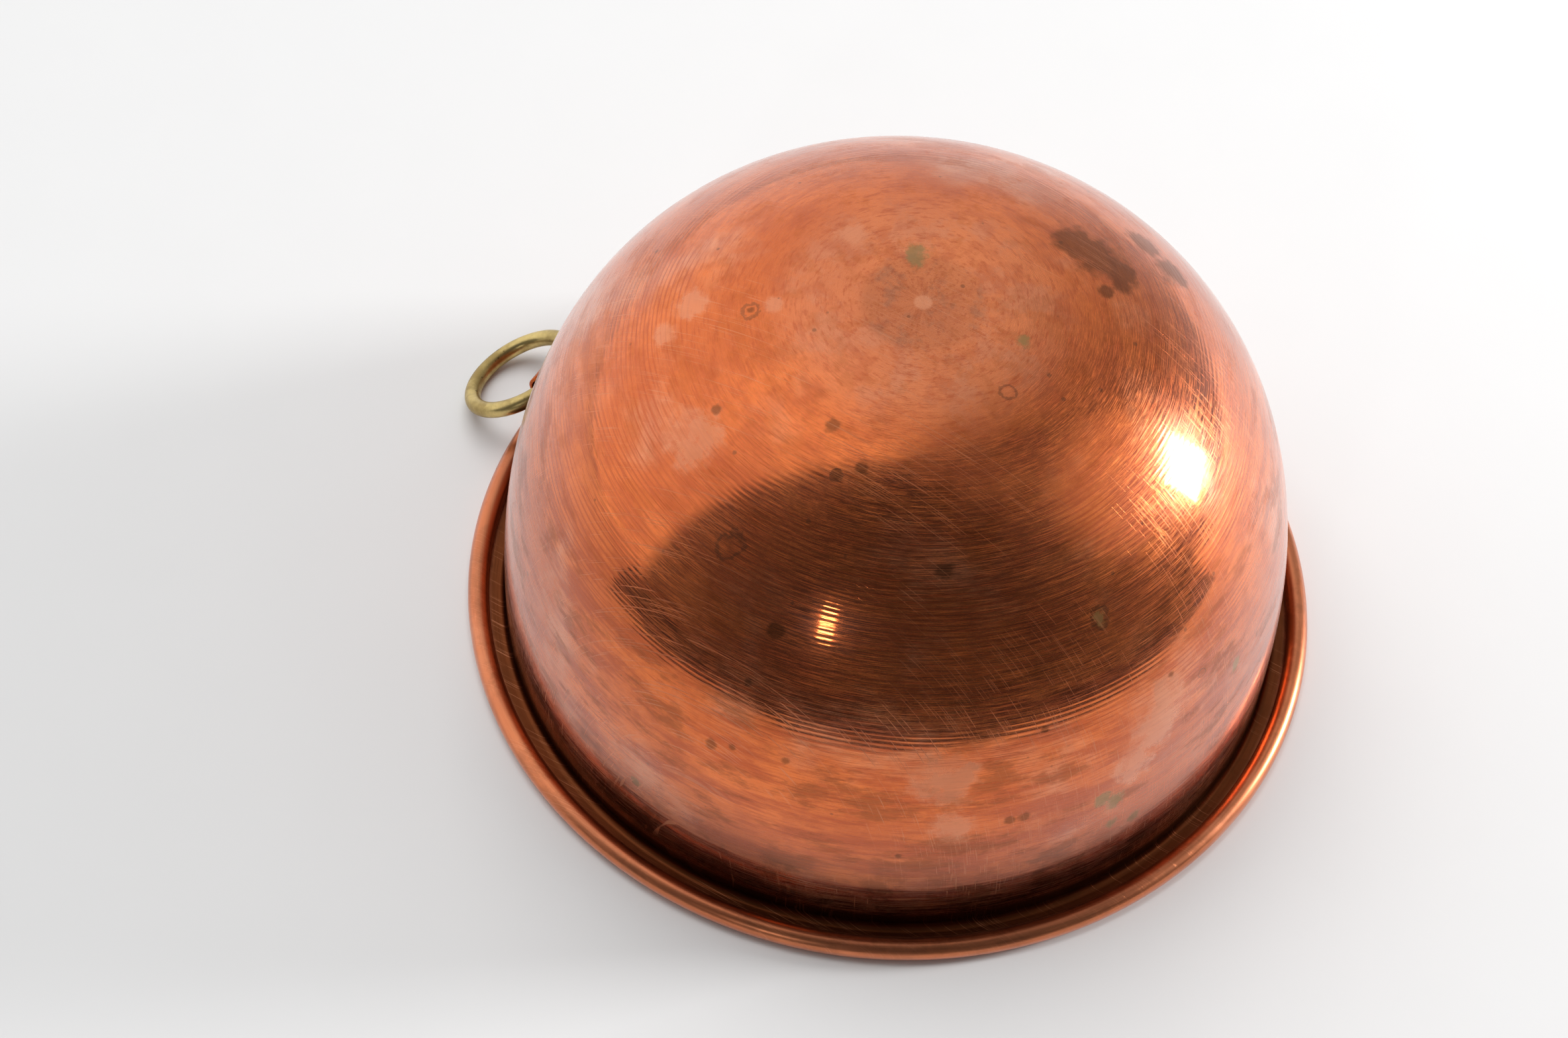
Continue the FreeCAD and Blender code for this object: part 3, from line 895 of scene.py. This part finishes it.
class BOWL_OT_rivets(bpy.types.Operator):
    """Makes the two rivets through the lug and the wall"""

    bl_idname = "bowl.rivets"
    bl_label = "Rivets"

    def execute(self, context):
        bowl, fitting = context.scene.bowl_sizes, context.scene.fitting_sizes
        r = wall_radius_at(bowl, fitting.rivet_height)
        nr, nz = wall_normal(bowl, r, fitting.rivet_height)
        out = np.array([-nr, 0.0, nz])
        side = np.array([0.0, 1.0, 0.0])
        up = np.cross(out, side)
        seat = 2 * fitting.strap + fitting.leaf_gap
        top = seat + fitting.head_height
        inner_seat = -bowl.sheet + HEAD_BITE
        inner_top = -bowl.sheet - fitting.inner_head_height
        head, inner_head, shank = fitting.head_radius, fitting.inner_head_radius, fitting.shank_radius
        profile = np.concatenate(
            [
                cap_arc(head, seat + HEAD_EDGE, top, 12)[::-1][1:],
                [[head, seat], [shank, seat], [shank, inner_seat], [inner_head, inner_seat]],
                cap_arc(inner_head, inner_top + INNER_HEAD_EDGE, inner_top, 10)[:-1],
            ]
        )
        material = plain_copper("rivet copper", context.scene.bowl_finish, 260.0)
        for name, sign in (("rivet_right", -1), ("rivet_left", 1)):
            foot = np.array([-r, sign * fitting.rivet_spacing / 2, fitting.rivet_height])
            turned = lathe(profile, 48)
            ends = np.array([[0, 0, top], [0, 0, inner_top]])
            axes = np.stack([up, side, out])
            grid = turned @ axes + foot
            piece = surface_object(name + "_head", grid, poles=ends @ axes + foot, sharp=40)
            finish_piece(piece, material, "bowl", "rivet_copper", name)
        return {"FINISHED"}


class BOWL_OT_ring(bpy.types.Operator):
    """Makes the brass hanging ring, lying on the floor"""

    bl_idname = "bowl.ring"
    bl_label = "Hanging ring"

    def execute(self, context):
        wire = context.scene.fitting_sizes.ring_wire / 2
        radius = (RING_HIGH.y - RING_LOW.y) / 2 - wire
        # The ring rests on the floor, so its middle is at the middle of its box.
        low, high = np.array(RING_LOW), np.array(RING_HIGH)
        centre = (low + high) / 2
        tilt = math.asin((high[2] - low[2] - 2 * wire) / (2 * radius))
        outward = np.array([-math.cos(tilt), 0.0, -math.sin(tilt)])
        across = np.array([0.0, 1.0, 0.0])
        normal = np.cross(across, outward)
        turn = np.linspace(0, 2 * math.pi, 192, endpoint=False)[:, None]
        round_wire = np.linspace(0, 2 * math.pi, 48, endpoint=False)[None, :]
        # A torus, R + r cos b out from its middle, with a cast ring's slight unevenness.
        uneven = 1 - 0.012 * (1 + np.sin(3 * turn + 1.0) * np.cos(round_wire) + 0.4 * np.sin(7 * turn))
        reach = radius + wire * uneven * np.cos(round_wire)
        lift = wire * uneven * np.sin(round_wire)
        grid = (
            centre
            + (reach * np.cos(turn))[..., None] * outward
            + (reach * np.sin(turn))[..., None] * across
            + lift[..., None] * normal
        )
        piece = surface_object("brass_ring", grid, wrap_rows=True)
        finish_piece(piece, aged_brass(context.scene.bowl_finish), "ring", "brass", "hanging_ring")
        return {"FINISHED"}


def look_axes(azimuth, elevation, roll):
    """The camera's right, up and backward directions."""
    right = Vector((math.cos(azimuth), math.sin(azimuth), 0))
    forward = Vector((-math.sin(azimuth), math.cos(azimuth), 0))
    back = Vector((0, 0, math.sin(elevation))) - forward * math.cos(elevation)
    up = back.cross(right)
    turned = right * math.cos(roll) + up * math.sin(roll)
    return turned, back.cross(turned), back


def make_camera(stage):
    """The camera, aimed a little left of and above the bowl's foot."""
    right, up, back = look_axes(stage.view_azimuth, stage.view_elevation, stage.view_roll)
    data = bpy.data.cameras.new("camera")
    data.lens = stage.lens
    data.sensor_width = 36.0
    data.clip_start = 0.01
    camera = bpy.data.objects.new("camera", data)
    camera.matrix_world = Matrix((right, up, back)).transposed().to_4x4()
    camera.location = back * stage.view_distance - right * stage.aim_left + up * stage.aim_up
    bpy.context.scene.collection.objects.link(camera)
    bpy.context.scene.camera = camera


def direction(azimuth, elevation):
    """A unit vector, with azimuth from +X towards +Y, both in degrees."""
    a, e = math.radians(azimuth), math.radians(elevation)
    return Vector((math.cos(a) * math.cos(e), math.sin(a) * math.cos(e), math.sin(e)))


def make_light(name, azimuth, elevation, distance, size, watts, in_reflections):
    """A soft rectangular light that faces the bowl."""
    data = bpy.data.lights.new(name, "AREA")
    data.shape = "RECTANGLE"
    data.size, data.size_y = size
    data.energy = watts
    light = bpy.data.objects.new(name, data)
    towards = direction(azimuth, elevation)
    light.location = towards * distance + Vector((0, 0, 0.06))
    light.rotation_mode = "QUATERNION"
    light.rotation_quaternion = towards.to_track_quat("Z", "Y")
    light.visible_glossy = in_reflections
    light.visible_camera = False
    bpy.context.scene.collection.objects.link(light)


def make_room():
    """A world with a pale wall to the left and behind, and a dark room to the front and right."""
    world = bpy.data.worlds.new("studio")
    bpy.context.scene.world = world
    world.use_nodes = True
    tree = world.node_tree
    w = Wiring(tree)
    background = next(n for n in tree.nodes if n.type == "BACKGROUND")
    way = w.node("ShaderNodeTexCoord").outputs["Generated"]
    parts = w.node("ShaderNodeSeparateXYZ")
    w.put(way, parts.inputs[0])
    turn = w.math("ARCTAN2", parts.outputs["Y"], parts.outputs["X"])
    turn = w.plus(w.math("DIVIDE", turn, 2 * math.pi), 0.5)
    walls = w.node("ShaderNodeValToRGB")
    walls.color_ramp.interpolation = "EASE"
    ramp = walls.color_ramp.elements
    while len(ramp) < len(WALL_LEVELS):
        ramp.new(0.5)
    for element, (azimuth, level) in zip(ramp, WALL_LEVELS):
        element.position = (azimuth + 180) / 360
        element.color = (level, level, level, 1.0)
    w.put(turn, walls.inputs["Fac"])
    # The front half of the room is unlit, and a little less dark towards the right.
    toward = w.vector("DOT_PRODUCT", way, direction(-40, 0))
    dark = w.ramp(toward, math.cos(math.radians(97)), math.cos(math.radians(91.5)))
    unlit = w.ramp(turn, 0.43, 0.58, 0.085, 0.24)
    unlit = w.plus(unlit, w.ramp(turn, 0.25, 0.13, 0.0, 0.10))
    # Above the softbox its light spills over the wall.
    spill = w.ramp(w.vector("DOT_PRODUCT", way, direction(36, 34)), math.cos(math.radians(30)), 0.985)
    unlit = w.plus(unlit, w.times(spill, 0.55))
    room = w.mix(dark, walls.outputs["Color"], unlit)
    seen = w.node("ShaderNodeLightPath").outputs["Is Camera Ray"]
    w.put(w.mix(seen, room, (0.80, 0.80, 0.81)), background.inputs["Color"])
    background.inputs["Strength"].default_value = 1.0


def stage_sheet(name, points, faces, material):
    """A flat piece of the stage."""
    mesh = bpy.data.meshes.new(name)
    mesh.from_pydata(points, [], faces)
    mesh.materials.append(material)
    sheet = bpy.data.objects.new(name, mesh)
    bpy.context.scene.collection.objects.link(sheet)
    return sheet


def make_floor(stage):
    """The pale floor, and a dark sheet beyond its near edge that only reflections see."""
    material, w, shader = new_material("pale floor")
    shade = stage.floor_shade
    grain = w.noise(object_place(w), 30.0, 3.0)
    tint = w.mix(grain, (shade * 0.99,) * 3, (min(shade * 1.01, 1.0),) * 3)
    w.put(tint, shader.inputs["Base Color"])
    shader.inputs["Roughness"].default_value = 0.9
    shader.inputs["Specular IOR Level"].default_value = 0.2
    half = stage.floor_size / 2
    corners = [(-half, -half, 0), (half, -half, 0), (half, half, 0), (-half, half, 0)]
    stage_sheet("floor", corners, [(0, 1, 2, 3)], material)

    material, w, shader = new_material("dark room floor")
    shader.inputs["Base Color"].default_value = (0.06, 0.06, 0.06, 1.0)
    shader.inputs["Roughness"].default_value = 1.0
    steps = 64
    turn = np.radians(np.linspace(DARK_FROM, DARK_TO, steps))
    edge = np.stack([np.cos(turn), np.sin(turn)], axis=-1)
    points = np.concatenate([edge * DARK_NEAR, edge * DARK_FAR])
    points = np.concatenate([points, np.full((len(points), 1), 0.5 * MM)], axis=1)
    k = np.arange(steps - 1)
    faces = np.stack([k, k + 1, k + steps + 1, k + steps], axis=-1)
    dark = stage_sheet("dark_room_floor", points.tolist(), faces.tolist(), material)
    dark.visible_camera = False
    dark.visible_diffuse = False
    dark.visible_shadow = False


class BOWL_OT_stage(bpy.types.Operator):
    """Makes the floor, the room, the lights and the camera"""

    bl_idname = "bowl.stage"
    bl_label = "Stage"

    def execute(self, context):
        stage = context.scene.stage_settings
        make_camera(stage)
        make_room()
        make_floor(stage)
        for light in LIGHTS:
            make_light(*light)
        context.scene.view_settings.view_transform = "Standard"
        return {"FINISHED"}


class BOWL_PT_panel(bpy.types.Panel):
    """Lists the bowl's pieces and their sizes"""

    bl_idname = "BOWL_PT_panel"
    bl_label = "Copper Mixing Bowl"
    bl_space_type = "VIEW_3D"
    bl_region_type = "UI"
    bl_category = "Bowl"

    def draw(self, context):
        for operator in OPERATORS:
            self.layout.operator(operator.bl_idname)
        for group in GROUPS:
            settings = getattr(context.scene, group)
            box = self.layout.box()
            for key in settings.__annotations__:
                box.prop(settings, key)


GROUPS = {
    "bowl_sizes": BowlSizes,
    "fitting_sizes": FittingSizes,
    "bowl_finish": BowlFinish,
    "stage_settings": StageSettings,
}
OPERATORS = (BOWL_OT_stage, BOWL_OT_shell, BOWL_OT_rim_wire, BOWL_OT_lug, BOWL_OT_rivets, BOWL_OT_ring)


def register():
    for made in (*GROUPS.values(), *OPERATORS, BOWL_PT_panel):
        bpy.utils.register_class(made)
    for key, group in GROUPS.items():
        setattr(bpy.types.Scene, key, bpy.props.PointerProperty(type=group))


def unregister():
    for key in GROUPS:
        delattr(bpy.types.Scene, key)
    for made in (BOWL_PT_panel, *reversed(OPERATORS), *reversed(list(GROUPS.values()))):
        bpy.utils.unregister_class(made)


def main():
    register()
    bpy.ops.bowl.stage()
    bpy.ops.bowl.shell()
    bpy.ops.bowl.rim_wire()
    bpy.ops.bowl.lug()
    bpy.ops.bowl.rivets()
    bpy.ops.bowl.ring()


if __name__ == "__main__":
    main()
